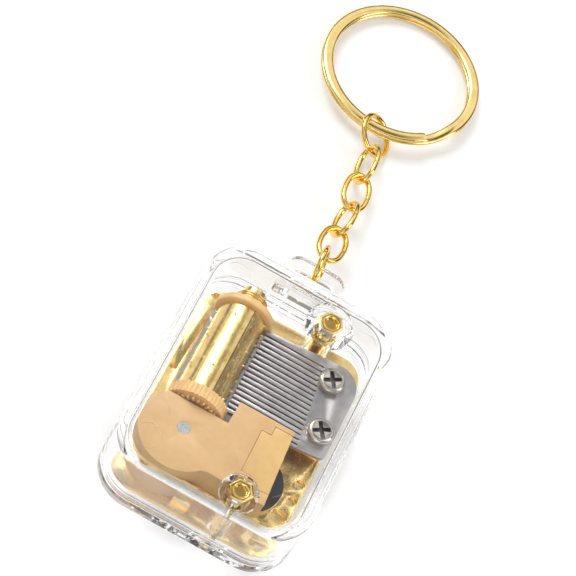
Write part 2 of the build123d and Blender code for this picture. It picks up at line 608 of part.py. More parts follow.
with BuildPart() as mainspring:
    spring_in = ARBOR_R + 0.15
    spring_out = DRUM_R - DRUM_WALL - 0.02 - SPRING_STRIP
    half_turns = 2 * MAINSPRING_TURNS
    growth = (spring_out - spring_in) / half_turns
    # each half turn is a half ring; the middles step aside so that the strip winds outwards
    with BuildSketch(Plane.XY.offset(DRUM_Z + DRUM_WALL + 0.1)):
        for half_turn in range(half_turns):
            side = 1 if half_turn % 2 == 0 else -1
            inner = spring_in + growth * (half_turn + 0.5)
            middle = CYL_X + side * growth / 2
            with Locations((middle, BARREL_Y)):
                with BuildSketch(mode=Mode.PRIVATE) as half_ring:
                    Circle(inner + SPRING_STRIP)
                    Circle(inner, mode=Mode.SUBTRACT)
                    with Locations((0, -side * (inner + 1))):
                        Rectangle(4 * inner + 4, 2 * (inner + 1), mode=Mode.SUBTRACT)
                add(half_ring.sketch)
    extrude(amount=DRUM_H - 2 * DRUM_WALL - 0.2)
save(mainspring.part, "mainspring")

with BuildPart() as winding_arbor:
    disc(CYL_X, BARREL_Y, ARBOR_R, KEY_Z - KEY_T / 2, HOUSING_TOP)
    with BuildSketch(Plane(origin=(CYL_X - 3, BARREL_Y, KEY_Z), x_dir=(0, 1, 0), z_dir=(1, 0, 0))):
        Circle(KEY_PIN_R)
    extrude(amount=6, mode=Mode.SUBTRACT)
save(winding_arbor.part, "winding_arbor")

with BuildPart() as key_hub:
    disc(CYL_X, BARREL_Y, KEY_HUB_R, KEY_Z - KEY_T / 2, KEY_POCKET_D - 0.1)
    for flat_side in (-1, 1):
        flat_x = CYL_X + flat_side * (KEY_HUB_W / 2 + 1)
        block(flat_x - 1, flat_x + 1, BARREL_Y - 4, BARREL_Y + 4, 0, KEY_POCKET_D, mode=Mode.SUBTRACT)
    disc(CYL_X, BARREL_Y, ARBOR_R, 0, KEY_POCKET_D + 1, mode=Mode.SUBTRACT)
    with BuildSketch(Plane(origin=(CYL_X - 3, BARREL_Y, KEY_Z), x_dir=(0, 1, 0), z_dir=(1, 0, 0))):
        Circle(KEY_PIN_R)
    extrude(amount=6, mode=Mode.SUBTRACT)
save(key_hub.part, "key_hub")

KEY_EAR_X = KEY_HUB_W / 2 + KEY_GAP
with BuildPart() as key_pin:
    pin_half = KEY_EAR_X + KEY_EAR_W
    with BuildSketch(Plane(origin=(CYL_X - pin_half, BARREL_Y, KEY_Z), x_dir=(0, 1, 0), z_dir=(1, 0, 0))):
        Circle(KEY_PIN_R)
    extrude(amount=2 * pin_half)
save(key_pin.part, "key_pin")

with BuildPart() as key_handle:
    ear_end = KEY_T / 2
    with BuildSketch(Plane.XY.offset(KEY_Z - KEY_T / 2)):
        with Locations((CYL_X, BARREL_Y - KEY_REACH + KEY_R)):
            Circle(KEY_R)
        with Locations((CYL_X, BARREL_Y - 2)):
            Rectangle(2 * (KEY_EAR_X + KEY_EAR_W), 4 + 2 * ear_end)
        with Locations((CYL_X, BARREL_Y + ear_end + 3)):
            Rectangle(3 * KEY_R, 6, mode=Mode.SUBTRACT)
        with Locations((CYL_X, BARREL_Y)):
            Rectangle(2 * KEY_EAR_X, 2 * KEY_HUB_R + 0.5, mode=Mode.SUBTRACT)
        with Locations((CYL_X, BARREL_Y - KEY_REACH + 2.9)):
            Circle(1.5, mode=Mode.SUBTRACT)
    extrude(amount=KEY_T)
    fillet(key_handle.edges().filter_by(Axis.X).group_by(Axis.Y)[-1], radius=KEY_T / 2 - 0.01)
    with BuildSketch(Plane(origin=(CYL_X - 6, BARREL_Y, KEY_Z), x_dir=(0, 1, 0), z_dir=(1, 0, 0))):
        Circle(KEY_PIN_R + RUN_GAP)
    extrude(amount=12, mode=Mode.SUBTRACT)
save(key_handle.part, "key_handle")

# ================================================================ governor train
C_PHASE = mesh_phase(0, RIM_TEETH, PINION_C_TEETH, TRAIN_ANGLE)
C_WHEEL_PHASE = 0.0
B_PHASE = mesh_phase(C_WHEEL_PHASE, WHEEL_C_TEETH, PINION_B_TEETH, CB_ANGLE)
WHEEL_C_T = 1.0

with BuildPart() as wheel_c:
    with BuildSketch(Plane.XY.offset(RIM_Z)):
        with Locations(Location((C_X, C_Y))):
            gear_teeth(PINION_C_TEETH, RIM_MODULE * PINION_C_TEETH / 2, C_PHASE)
    extrude(amount=RIM_T + 0.2)
    disc(C_X, C_Y, 0.9, RIM_Z + RIM_T, WHEEL_C_Z)
    with BuildSketch(Plane.XY.offset(WHEEL_C_Z)):
        with Locations(Location((C_X, C_Y))):
            gear_teeth(WHEEL_C_TEETH, TRAIN_MODULE * WHEEL_C_TEETH / 2, C_WHEEL_PHASE)
    extrude(amount=WHEEL_C_T)
    disc(C_X, C_Y, TRAIN_ARBOR_R, RIM_Z - 1, HOUSING_TOP, mode=Mode.SUBTRACT)
save(wheel_c.part, "governor_wheel_1")

with BuildPart() as arbor_c:
    disc(C_X, C_Y, TRAIN_ARBOR_R, BED_Z + 0.5, HOUSING_TOP - 0.5)
save(arbor_c.part, "governor_arbor_1")

with BuildPart() as wheel_b:
    with BuildSketch(Plane.XY.offset(WHEEL_C_Z)):
        with Locations(Location((B_X, B_Y))):
            gear_teeth(PINION_B_TEETH, TRAIN_MODULE * PINION_B_TEETH / 2, B_PHASE)
    extrude(amount=WHEEL_C_T + 0.2)
    wheel_z = WORM_Z - WORM_WHEEL_T / 2
    disc(B_X, B_Y, 0.9, WHEEL_C_Z + WHEEL_C_T, wheel_z)
    disc(B_X, B_Y, WORM_WHEEL_R - DED, wheel_z, wheel_z + WORM_WHEEL_T)
    tooth_w = WORM_PITCH * TOOTH_SHARE
    tooth_r = WORM_WHEEL_R + (ADD - DED) / 2
    # slanted teeth that follow the worm's thread, with a gap facing the worm
    with BuildPart(mode=Mode.PRIVATE) as slanted:
        with Locations((B_X, B_Y, WORM_Z)):
            with PolarLocations(tooth_r, WORM_WHEEL_TEETH, start_angle=180 / WORM_WHEEL_TEETH):
                with Locations(Location((0, 0, 0), (-WORM_SLOPE, 0, 0))):
                    Box(ADD + DED + 0.1, tooth_w, 3 * WORM_WHEEL_T)
        block(B_X - 6, B_X + 6, B_Y - 6, B_Y + 6, wheel_z, wheel_z + WORM_WHEEL_T, mode=Mode.INTERSECT)
    add(slanted.part)
    disc(B_X, B_Y, TRAIN_ARBOR_R, RIM_Z - 1, HOUSING_TOP, mode=Mode.SUBTRACT)
save(wheel_b.part, "governor_wheel_2")

with BuildPart() as arbor_b:
    disc(B_X, B_Y, TRAIN_ARBOR_R, BED_Z + 0.5, HOUSING_TOP - 0.5)
save(arbor_b.part, "governor_arbor_2")

WORM_Y0 = B_Y - WORM_LEADS * WORM_LEAD / 2
WORM_L = WORM_LEADS * WORM_LEAD
worm_plane = Plane(origin=(WORM_X, WORM_Y0, WORM_Z), x_dir=(-1, 0, 0), z_dir=(0, 1, 0))

worm_root = WORM_R - DED
worm_end = 0.4
# made upright, then laid along the governor's shaft
with BuildPart() as worm_thread:
    with BuildLine() as thread_path:
        Helix(pitch=WORM_LEAD, height=WORM_L, radius=worm_root)
    with BuildSketch(Plane.XZ):
        Polygon(
            (worm_root - 0.08, -0.2), (WORM_R + 0.22, -0.1), (WORM_R + 0.22, 0.1),
            (worm_root - 0.08, 0.2), align=None,
        )
    sweep(path=thread_path.line, is_frenet=True)

with BuildPart() as governor_worm:
    disc(0, 0, worm_root, -worm_end, WORM_L + worm_end)
    with PolarLocations(0, WORM_STARTS):
        add(worm_thread.part)
    disc(0, 0, FLY_SHAFT_R, -1, WORM_L + 1, mode=Mode.SUBTRACT)
save(worm_plane * governor_worm.part, "governor_worm")

with BuildPart() as governor_shaft:
    rod_y(WORM_X, WORM_Z, FLY_SHAFT_R, SHAFT_LOW_Y, FLY_TOP_Y + HOUSING_WALL - 0.2)
save(governor_shaft.part, "governor_shaft")

FLY_Y1 = FLY_TOP_Y - 0.4
with BuildPart() as governor_fly:
    rod_y(WORM_X, WORM_Z, 0.9, FLY_Y1 - FLY_L, FLY_Y1)
    block(WORM_X - FLY_R, WORM_X + FLY_R, FLY_Y1 - FLY_L + 0.3, FLY_Y1 - 0.3,
          WORM_Z - FLY_T / 2, WORM_Z + FLY_T / 2)
    rod_y(WORM_X, WORM_Z, FLY_SHAFT_R, FLY_Y1 - FLY_L - 1, FLY_Y1 + 1, mode=Mode.SUBTRACT)
save(governor_fly.part, "governor_fly")


# ================================================================ governor housing
def housing_outline(top_y):
    """Face of the housing's plan, whose upper right part reaches up to top_y."""
    lobe_x, lobe_y = CYL_X, BARREL_Y - 0.2
    low_angle = -43.0
    start = (lobe_x + LOBE_R * cos(radians(low_angle)), lobe_y + LOBE_R * sin(radians(low_angle)))
    through = (lobe_x + LOBE_R * cos(radians(-110)), lobe_y + LOBE_R * sin(radians(-110)))
    end = (lobe_x - LOBE_R, lobe_y)
    right_top = HOUSING_RIGHT - HOUSING_LEAN
    with BuildLine() as outline:
        ThreePointArc(start, through, end)
        Polyline(end, (lobe_x - LOBE_R, lobe_y + 2.9), (-15.7, EDGE_Y - 0.8), (-14.7, EDGE_Y),
                 (NOTCH_X, EDGE_Y), (NOTCH_X + 0.3, top_y), (right_top, top_y),
                 (HOUSING_RIGHT + HOUSING_LEAN, HOUSING_LOW_Y), (-0.9, HOUSING_LOW_Y + 0.5), start)
    make_face(outline.edges())


def lid_outline(gap):
    """Plan of the lid, drawn in by the gap on the housing's side."""
    right = HOUSING_RIGHT + HOUSING_LEAN + 2
    with BuildLine() as outline:
        Polyline((LID_X + gap, LID_Y[0] - gap), (LID_TAB_X + gap, LID_Y[0] - gap),
                 (LID_TAB_X + gap, LID_TAB_Y[0] - gap), (right, LID_TAB_Y[0] - gap),
                 (right, LID_TAB_Y[1] + gap), (LID_TAB_X + gap, LID_TAB_Y[1] + gap),
                 (LID_TAB_X + gap, LID_Y[1] + gap), (LID_X + gap, LID_Y[1] + gap), close=True)
    make_face(outline.edges())


WALL_TOP_Y = COMB_LOW_Y - COMB_CLEAR
with BuildPart() as governor_housing:
    with BuildSketch(Plane.XY.offset(BED_TOP)):
        housing_outline(WALL_TOP_Y)
    extrude(amount=PLATE_Z - BED_TOP)
    with BuildSketch(Plane.XY.offset(BED_TOP)) as housing_inside:
        housing_outline(WALL_TOP_Y)
        offset(amount=-HOUSING_WALL, kind=Kind.INTERSECTION)
    extrude(amount=PLATE_Z - BED_TOP, mode=Mode.SUBTRACT)
    with BuildSketch(Plane.XY.offset(PLATE_Z)):
        housing_outline(OVERHANG_Y)
    extrude(amount=PLATE_T)
    # lower bearing of the governor shaft
    block(WORM_X - 1.2, WORM_X + 1.2, SHAFT_LOW_Y - 0.2, SHAFT_LOW_Y + 0.9, BED_TOP, PLATE_Z)
    # sleeve round the lower screw boss
    sleeve_r = BOSS_R + SCREW_CLEAR + HOUSING_WALL
    disc(*SCREW_AT[1], sleeve_r, BED_TOP, HOUSING_TOP)
    block(SCREW_AT[1][0] - sleeve_r - 1, SCREW_AT[1][0] + sleeve_r + 2, HOUSING_LOW_Y - 2 * sleeve_r,
          HOUSING_LOW_Y, BED_TOP, HOUSING_TOP, mode=Mode.SUBTRACT)
    disc(*SCREW_AT[1], BOSS_R + SCREW_CLEAR, BED_TOP, HOUSING_TOP, mode=Mode.SUBTRACT)
    # opening for the barrel's rim, bearings and pivots
    block(CYL_X - 5.2, CYL_X + 5.2, EDGE_Y - 2, EDGE_Y + 1, BED_TOP, RIM_Z + RIM_T + 0.4,
          mode=Mode.SUBTRACT)
    rod_y(CYL_X, CYL_Z, SHAFT_R + RUN_GAP, EDGE_Y - 2, EDGE_Y + 1, mode=Mode.SUBTRACT)
    disc(CYL_X, BARREL_Y, ARBOR_R + RUN_GAP, PLATE_Z - 1, HOUSING_TOP + 1, mode=Mode.SUBTRACT)
    for pivot_x, pivot_y in ((C_X, C_Y), (B_X, B_Y)):
        disc(pivot_x, pivot_y, TRAIN_ARBOR_R + RUN_GAP, PLATE_Z - 1, HOUSING_TOP - 0.4,
             mode=Mode.SUBTRACT)
    rod_y(WORM_X, WORM_Z, FLY_SHAFT_R + RUN_GAP, SHAFT_LOW_Y, FLY_TOP_Y + HOUSING_WALL - 0.1,
          mode=Mode.SUBTRACT)
    # recess for the lid
    with BuildSketch(Plane.XY.offset(PLATE_Z)):
        lid_outline(0)
    extrude(amount=PLATE_T, mode=Mode.SUBTRACT)
save(governor_housing.part, "governor_housing")

with BuildPart() as housing_lid:
    with BuildSketch(Plane.XY.offset(PLATE_Z)) as lid_face:
        lid_outline(LID_GAP)
        with BuildSketch(mode=Mode.INTERSECT):
            housing_outline(OVERHANG_Y)
    extrude(amount=PLATE_T)
    disc(*SCREW_AT[1], BOSS_R + SCREW_CLEAR + HOUSING_WALL + LID_GAP, BED_TOP, HOUSING_TOP,
         mode=Mode.SUBTRACT)
save(housing_lid.part, "housing_lid")

# ================================================================ chain
# direction, slope and roll of each chain piece, from the lug to the key ring, in degrees
CHAIN = (
    ("lug_ring", "round", 0.0, -12.0, 80.0),
    ("chain_link_1", "oval", 1.0, -12.6, 10.0),
    ("chain_link_2", "oval", -2.0, -10.0, -60.0),
    ("chain_link_3", "oval", -4.0, -7.0, 12.0),
    ("chain_link_4", "oval", -7.0, -3.0, -60.0),
    ("end_ring", "round", -11.0, -0.5, 40.0),
)


def chain_plane(middle, heading, slope, roll):
    """Plane of one chain piece: its X runs along the chain, its Z is the loop's normal."""
    along = Vector(sin(radians(heading)) * cos(radians(slope)),
                   cos(radians(heading)) * cos(radians(slope)), sin(radians(slope)))
    side = along.cross(Vector(0, 0, 1)).normalized()
    up = side.cross(along)
    normal = up * cos(radians(roll)) + side * sin(radians(roll))
    return Plane(origin=middle, x_dir=along, z_dir=normal)


def half_length(kind):
    """From a piece's middle to the wire's middle at its end."""
    return ROUND_R if kind == "round" else OVAL_L / 2


lug_bar_y = CASE_L / 2 + LUG_REACH - LUG_BAR / 2
middle = Vector(0, lug_bar_y + LUG_RING_PLAY, LUG_Z)
previous = None
for name, kind, heading, slope, roll in CHAIN:
    if previous is not None:
        reach = half_length(kind) - WIRE_R - CHAIN_SLACK / 2
        along = chain_plane((0, 0, 0), heading, slope, roll).x_dir
        middle = previous + along * reach
    link_plane = chain_plane(middle, heading, slope, roll)
    with BuildPart() as chain_piece:
        if kind == "round":
            with BuildLine(link_plane) as loop:
                CenterArc((0, 0), ROUND_R, 0, 360)
        else:
            straight = OVAL_L / 2 - OVAL_W / 2
            with BuildLine(link_plane) as loop:
                Line((-straight, -OVAL_W / 2), (straight, -OVAL_W / 2))
                CenterArc((straight, 0), OVAL_W / 2, -90, 180)
                Line((straight, OVAL_W / 2), (-straight, OVAL_W / 2))
                CenterArc((-straight, 0), OVAL_W / 2, 90, 180)
        start_point = loop.line @ 0
        with BuildSketch(Plane(origin=start_point, z_dir=loop.line % 0)):
            Circle(WIRE_R)
        sweep(path=loop.line)
    save(chain_piece.part, name)
    print(name, "middle", [round(v, 4) for v in middle],
          "end", [round(v, 4) for v in middle + link_plane.x_dir * half_length(kind)],
          "wire", [round(v, 5) for v in link_plane.y_dir])
    previous = middle + link_plane.x_dir * (half_length(kind) - WIRE_R - CHAIN_SLACK / 2)
    end_plane = link_plane

# ================================================================ split key ring
ring_inner = RING_OUTER - RING_W
ring_heading = -3.0
ring_along = Vector(sin(radians(ring_heading)) * cos(radians(RING_TILT)),
                    cos(radians(ring_heading)) * cos(radians(RING_TILT)), sin(radians(RING_TILT)))
ring_reach = ROUND_R - WIRE_R - RING_PLAY
ring_middle = end_plane.origin + end_plane.x_dir * ring_reach + ring_along * ring_inner
ring_side = Vector(0, 0, 1).cross(ring_along).normalized()
ring_plane = Plane(origin=ring_middle, x_dir=ring_side * -1, z_dir=(ring_side * -1).cross(ring_along))
turn_rise = RING_WIRE_T + RING_GAP
jog_from, jog_to = RING_JOG


def ring_profile_plane(angle, rise):
    """Plane across the ring's wire: X outwards, Y up."""
    outwards = ring_plane.x_dir * cos(radians(angle)) + ring_plane.y_dir * sin(radians(angle))
    onward = ring_plane.y_dir * cos(radians(angle)) - ring_plane.x_dir * sin(radians(angle))
    middle_r = RING_OUTER - RING_W / 2
    origin = ring_plane.origin + outwards * middle_r + ring_plane.z_dir * rise
    return Plane(origin=origin, x_dir=outwards, z_dir=onward * -1)


def ring_profile():
    """Bevelled flat wire."""
    with BuildSketch(mode=Mode.PRIVATE) as wire:
        Rectangle(RING_W, RING_WIRE_T)
        chamfer(wire.vertices(), length=RING_BEVEL)
    add(wire.sketch)


ring_axis = Axis(ring_plane.origin, ring_plane.z_dir)
with BuildPart() as split_ring:
    for level in (-1, 1):
        rise = level * turn_rise / 2
        with BuildSketch(ring_profile_plane(jog_to, rise)):
            ring_profile()
        revolve(axis=ring_axis, revolution_arc=360 - (jog_to - jog_from))
    steps = 4
    for step in range(steps + 1):
        share = step / steps
        ease = share * share * (3 - 2 * share)
        angle = jog_from + (jog_to - jog_from) * share
        with BuildSketch(ring_profile_plane(angle, (ease - 0.5) * turn_rise)):
            ring_profile()
    loft()
save(split_ring.part, "split_ring")
print("split ring middle", [round(v, 4) for v in ring_middle],
      "pivot", [round(v, 4) for v in end_plane.origin + end_plane.x_dir * ROUND_R])
print("C", C_X, C_Y, "B", B_X, B_Y, "crown", CROWN_R, "bar", lug_bar_y, "bed", BED_X)
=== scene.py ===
import json
import math

import bmesh
import bpy
import numpy as np
from mathutils import Matrix, Vector


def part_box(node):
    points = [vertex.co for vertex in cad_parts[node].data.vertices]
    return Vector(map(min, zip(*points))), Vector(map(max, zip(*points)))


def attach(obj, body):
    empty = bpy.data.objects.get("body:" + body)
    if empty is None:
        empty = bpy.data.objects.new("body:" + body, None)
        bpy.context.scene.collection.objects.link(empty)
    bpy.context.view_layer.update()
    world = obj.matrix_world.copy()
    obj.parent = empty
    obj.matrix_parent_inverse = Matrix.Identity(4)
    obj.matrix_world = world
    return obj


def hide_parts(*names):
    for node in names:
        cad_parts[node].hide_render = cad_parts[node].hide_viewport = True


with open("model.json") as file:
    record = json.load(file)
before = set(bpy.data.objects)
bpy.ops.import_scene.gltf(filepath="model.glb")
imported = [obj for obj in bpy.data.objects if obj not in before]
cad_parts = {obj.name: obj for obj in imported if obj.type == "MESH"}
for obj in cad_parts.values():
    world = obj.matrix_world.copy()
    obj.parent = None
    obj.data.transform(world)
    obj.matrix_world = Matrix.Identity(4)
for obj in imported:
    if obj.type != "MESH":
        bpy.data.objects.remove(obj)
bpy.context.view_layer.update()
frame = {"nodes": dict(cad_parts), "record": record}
nodes = frame["nodes"]
MM = 0.001

node_body = {
    name: body
    for body, names in frame["record"]["behaviour"]["bodies"].items()
    for name in names
}


# ---------------------------------------------------------------- materials
class Look:
    """One node material around a Principled shader, with object coordinates in millimetres."""

    def __init__(self, name, **sockets):
        self.material = bpy.data.materials.new(name)
        self.material.use_nodes = True
        self.tree = self.material.node_tree
        self.shader = self.tree.nodes["Principled BSDF"]
        for socket, value in sockets.items():
            self.shader.inputs[socket.replace("_", " ")].default_value = value
        place = self.tree.nodes.new("ShaderNodeTexCoord")
        self.place = place.outputs["Object"]

    def node(self, kind, **settings):
        made = self.tree.nodes.new(kind)
        for key, value in settings.items():
            setattr(made, key, value)
        return made

    def link(self, output, target):
        self.tree.links.new(output, target)

    def stretched(self, stretch):
        """Object coordinates in millimetres, multiplied by stretch on each axis."""
        mapping = self.node("ShaderNodeMapping")
        mapping.inputs["Scale"].default_value = [s / MM for s in stretch]
        self.link(self.place, mapping.inputs["Vector"])
        return mapping.outputs["Vector"]

    def noise(self, scale, detail=3.0, rough=0.55, stretch=(1, 1, 1), distortion=0.0):
        made = self.node("ShaderNodeTexNoise")
        made.inputs["Scale"].default_value = scale
        made.inputs["Detail"].default_value = detail
        made.inputs["Roughness"].default_value = rough
        made.inputs["Distortion"].default_value = distortion
        self.link(self.stretched(stretch), made.inputs["Vector"])
        return made.outputs["Fac"]

    def ramp(self, factor, *stops):
        made = self.node("ShaderNodeValToRGB")
        elements = made.color_ramp.elements
        while len(elements) < len(stops):
            elements.new(0.5)
        for element, (position, colour) in zip(elements, stops):
            element.position = position
            element.color = (*colour, 1)
        self.link(factor, made.inputs["Fac"])
        return made.outputs["Color"]

    def spread(self, factor, low, high, start=0.3, stop=0.7):
        made = self.node("ShaderNodeMapRange")
        made.inputs["From Min"].default_value = start
        made.inputs["From Max"].default_value = stop
        made.inputs["To Min"].default_value = low
        made.inputs["To Max"].default_value = high
        self.link(factor, made.inputs["Value"])
        return made.outputs["Result"]

    def mixed(self, factor, first, second, blend="MIX"):
        made = self.node("ShaderNodeMix", data_type="RGBA", blend_type=blend)
        # the node's factor and colour sockets; its colour comes out of output 2
        sockets = made.inputs[0], made.inputs[6], made.inputs[7]
        for socket, value in zip(sockets, (factor, first, second)):
            if isinstance(value, bpy.types.NodeSocket):
                self.link(value, socket)
            else:
                socket.default_value = value
        return made.outputs[2]

    def colour(self, output):
        self.link(output, self.shader.inputs["Base Color"])

    def roughness(self, output):
        self.link(output, self.shader.inputs["Roughness"])

    def bump(self, height, distance, strength=1.0, before=None):
        """Bump of that height in millimetres; before is an earlier bump that this one adds to."""
        made = self.node("ShaderNodeBump")
        made.inputs["Distance"].default_value = distance * MM
        made.inputs["Strength"].default_value = strength
        self.link(height, made.inputs["Height"])
        if before is not None:
            self.link(before, made.inputs["Normal"])
        self.link(made.outputs["Normal"], self.shader.inputs["Normal"])
        return made.outputs["Normal"]


def linear(red, green, blue):
    """Linear colour from 0 to 255 screen values."""
    out = []
    for value in (red, green, blue):
        value /= 255
        out.append(value / 12.92 if value <= 0.04045 else ((value + 0.055) / 1.055) ** 2.4)
    return tuple(out)


GRAIN_HEIGHT = 0.004    # millimetres
METAL_WAVE = 1.5        # slow waves of a metal face, over its grain's height
PLASTIC_GRAIN = 9.0
PLASTIC_FLOW = 4        # flow lines of a moulded face, over its grain's height
MARK_HALF_W = 0.09      # ring that an ejector pin leaves
MARK_DEPTH = 0.05
GLOW_DEPTH = 0.6        # how far light goes into soft plastic


def metal(name, bright, dull, rough, grain, grain_height=GRAIN_HEIGHT, stretch=(1, 1, 1),
          spots=0.0):
    """Metal with a fine grain, slow changes of tone and a few dull patches."""
    look = Look(name, Metallic=1.0)
    slow = look.noise(0.35, detail=4, rough=0.6)
    fine = look.noise(grain, detail=2, stretch=stretch)
    tone = look.ramp(slow, (0.32, dull), (0.62, bright))
    if spots:
        speck = look.noise(1.9, detail=5, rough=0.7)
        tone = look.mixed(look.spread(speck, 0.0, spots, 0.56, 0.7), tone, (*dull, 1))
    look.colour(tone)
    look.roughness(look.spread(fine, rough[0], rough[1]))
    first = look.bump(fine, grain_height, 0.6)
    look.bump(slow, grain_height * METAL_WAVE, 0.5, before=first)
    return look


def plastic(name, main, shade, rough, soft=0.0, soft_colour=None, marks=()):
    """Moulded plastic with a fine matt grain and a faint flow pattern."""
    look = Look(name)
    flow = look.noise(0.22, detail=3, distortion=1.2)
    fine = look.noise(PLASTIC_GRAIN, detail=3, rough=0.65)
    look.colour(look.ramp(flow, (0.3, shade), (0.65, main)))
    look.roughness(look.spread(fine, rough[0], rough[1]))
    last = look.bump(fine, GRAIN_HEIGHT, 0.7)
    last = look.bump(flow, GRAIN_HEIGHT * PLASTIC_FLOW, 0.4, before=last)
    for centre, radius in marks:
        # shallow ring that an ejector pin left
        away = look.node("ShaderNodeVectorMath", operation="DISTANCE")
        look.link(look.place, away.inputs[0])
        away.inputs[1].default_value = [c * MM for c in centre]
        ring = look.node("ShaderNodeMath", operation="COMPARE")
        ring.inputs[1].default_value = radius * MM
        ring.inputs[2].default_value = MARK_HALF_W * MM
        look.link(away.outputs["Value"], ring.inputs[0])
        last = look.bump(ring.outputs[0], -MARK_DEPTH, 0.8, before=last)
    if soft:
        look.shader.inputs["Subsurface Weight"].default_value = soft
        look.shader.inputs["Subsurface Radius"].default_value = soft_colour
        look.shader.inputs["Subsurface Scale"].default_value = GLOW_DEPTH * MM
    return look


def clear(name, tint):
    """Clear moulded acrylic that lets lamp light through to what it covers."""
    look = Look(name, Roughness=0.0, IOR=1.49)
    look.shader.inputs["Transmission Weight"].default_value = 1.0
    ripple = look.noise(0.12, detail=2)
    scuff = look.noise(2.4, detail=6, rough=0.7)
    look.colour(look.ramp(ripple, (0.2, tint), (0.8, (0.985, 0.985, 0.985))))
    look.roughness(look.spread(scuff, 0.0, 0.03, 0.45, 0.75))
    look.bump(ripple, 0.02, 0.15)
    through = look.node("ShaderNodeBsdfTransparent")
    lamp = look.node("ShaderNodeLightPath")
    either = look.node("ShaderNodeMixShader")
    look.link(lamp.outputs["Is Shadow Ray"], either.inputs[0])
    look.link(look.shader.outputs[0], either.inputs[1])
    look.link(through.outputs[0], either.inputs[2])
    look.link(either.outputs[0], look.tree.nodes["Material Output"].inputs["Surface"])
    return look


HOUSING_TOP = 12.8      # height of the housing's top face
EJECTOR_R = 2.1

looks = {
    "clear_cover": clear("clear_cover_look", (0.95, 0.955, 0.957)),
    "clear_base": clear("clear_base_look", (0.93, 0.925, 0.93)),
    "gold_plate": metal(
        "gold_plate_look", linear(248, 218, 152), linear(232, 196, 126), (0.16, 0.3), 6.0,
        spots=0.35),
    "gold_fastener": metal(
        "gold_fastener_look", linear(250, 218, 142), linear(230, 190, 108), (0.12, 0.22), 7.0),
    "gold_chain": metal(
        "gold_chain_look", linear(250, 216, 128), linear(242, 200, 104), (0.1, 0.18), 5.0),
    "gold_ring": metal(
        "gold_ring_look", linear(250, 222, 150), linear(240, 206, 128), (0.12, 0.2), 4.0,
        grain_height=0.002),
    "comb_steel": metal(
        "comb_steel_look", linear(172, 168, 167), linear(152, 149, 150), (0.34, 0.46), 5.0,
        grain_height=0.006, stretch=(0.15, 3.0, 1.0)),
    "nickel": metal(
        "nickel_look", linear(214, 208, 198), linear(188, 182, 172), (0.14, 0.26), 8.0),
    "steel": metal(
        "steel_look", linear(232, 238, 240), linear(206, 212, 216), (0.2, 0.34), 8.0),
    "spring_steel": metal(
        "spring_steel_look", linear(150, 156, 168), linear(112, 118, 130), (0.2, 0.32), 6.0),
    "cylinder_brass": metal(
        "cylinder_brass_look", linear(246, 216, 146), linear(226, 190, 116), (0.16, 0.28), 3.0,
        grain_height=0.003, stretch=(1.0, 0.35, 1.0)),
    "cream_plastic": plastic(
        "cream_plastic_look", linear(226, 186, 124), linear(218, 176, 112), (0.36, 0.5),
        soft=0.1, soft_colour=(1.0, 0.7, 0.4)),
    "tan_plastic": plastic(
        "tan_plastic_look", linear(206, 168, 116), linear(200, 160, 108), (0.4, 0.52),
        marks=(((-15.0, -12.4, HOUSING_TOP), EJECTOR_R), ((-12.6, -19.2, HOUSING_TOP), EJECTOR_R))),
    "lid_plastic": plastic(
        "lid_plastic_look", linear(212, 174, 112), linear(206, 166, 104), (0.38, 0.5)),
    "dark_plastic": plastic(
        "dark_plastic_look", linear(58, 58, 62), linear(44, 44, 48), (0.3, 0.45)),
    "white_plastic": plastic(
        "white_plastic_look", linear(236, 234, 228), linear(224, 222, 216), (0.35, 0.5)),
    "lead": metal("lead_look", linear(120, 122, 128), linear(92, 94, 100), (0.45, 0.6), 6.0),
}

node_slot = {}
for name, obj in nodes.items():
    node_slot[name] = obj.material_slots[0].material.name
    obj.material_slots[0].material = looks[node_slot[name]].material


# ---------------------------------------------------------------- pieces made from the CAD shapes
SAME_HEIGHT = 0.004     # points nearer than this to a height lie on it
WELD = 0.0005           # points nearer than this are one
FLAT_ANGLE = math.radians(0.5)
EDGE_ANGLE = math.radians(30.0)
EDGE_SEGMENTS = 2


def place(name, mesh, source):
    """Object of that mesh, with the finish and the body of the CAD node it comes from."""
    if not mesh.materials:
        mesh.materials.append(looks[node_slot[source]].material)
    made = bpy.data.objects.new(name, mesh)
    bpy.context.scene.collection.objects.link(made)
    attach(made, node_body[source])
    return made


def parted(node, faces_at):
    """A clear piece with a hair of air at each height where it meets its neighbour."""
    mesh = nodes[node].data.copy()
    for vert in mesh.vertices:
        for height, shift in faces_at:
            if abs(vert.co.z - height * MM) < SAME_HEIGHT * MM:
                vert.co.z += shift * MM
    made = place(node + "_clear", mesh, node)
    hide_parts(node)
    return made


def softened(node, width):
    """The node's shape with its hard edges broken by a small radius."""
    shape = bmesh.new()
    shape.from_mesh(nodes[node].data)
    bmesh.ops.remove_doubles(shape, verts=shape.verts, dist=WELD * MM)
    bmesh.ops.dissolve_limit(
        shape, angle_limit=FLAT_ANGLE, verts=shape.verts, edges=shape.edges)
    mesh = bpy.data.meshes.new(node + "_soft")
    shape.to_mesh(mesh)
    shape.free()
    mesh.shade_smooth()
    made = place(node + "_soft", mesh, node)
    bevel = made.modifiers.new("edges", "BEVEL")
    bevel.width = width * MM
    bevel.segments = EDGE_SEGMENTS
    bevel.limit_method = "ANGLE"
    bevel.angle_limit = EDGE_ANGLE
    bevel.use_clamp_overlap = True
    bevel.harden_normals = True
    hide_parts(node)
    return made


# ---------------------------------------------------------------- chain and key ring
SHARP = math.radians(60)


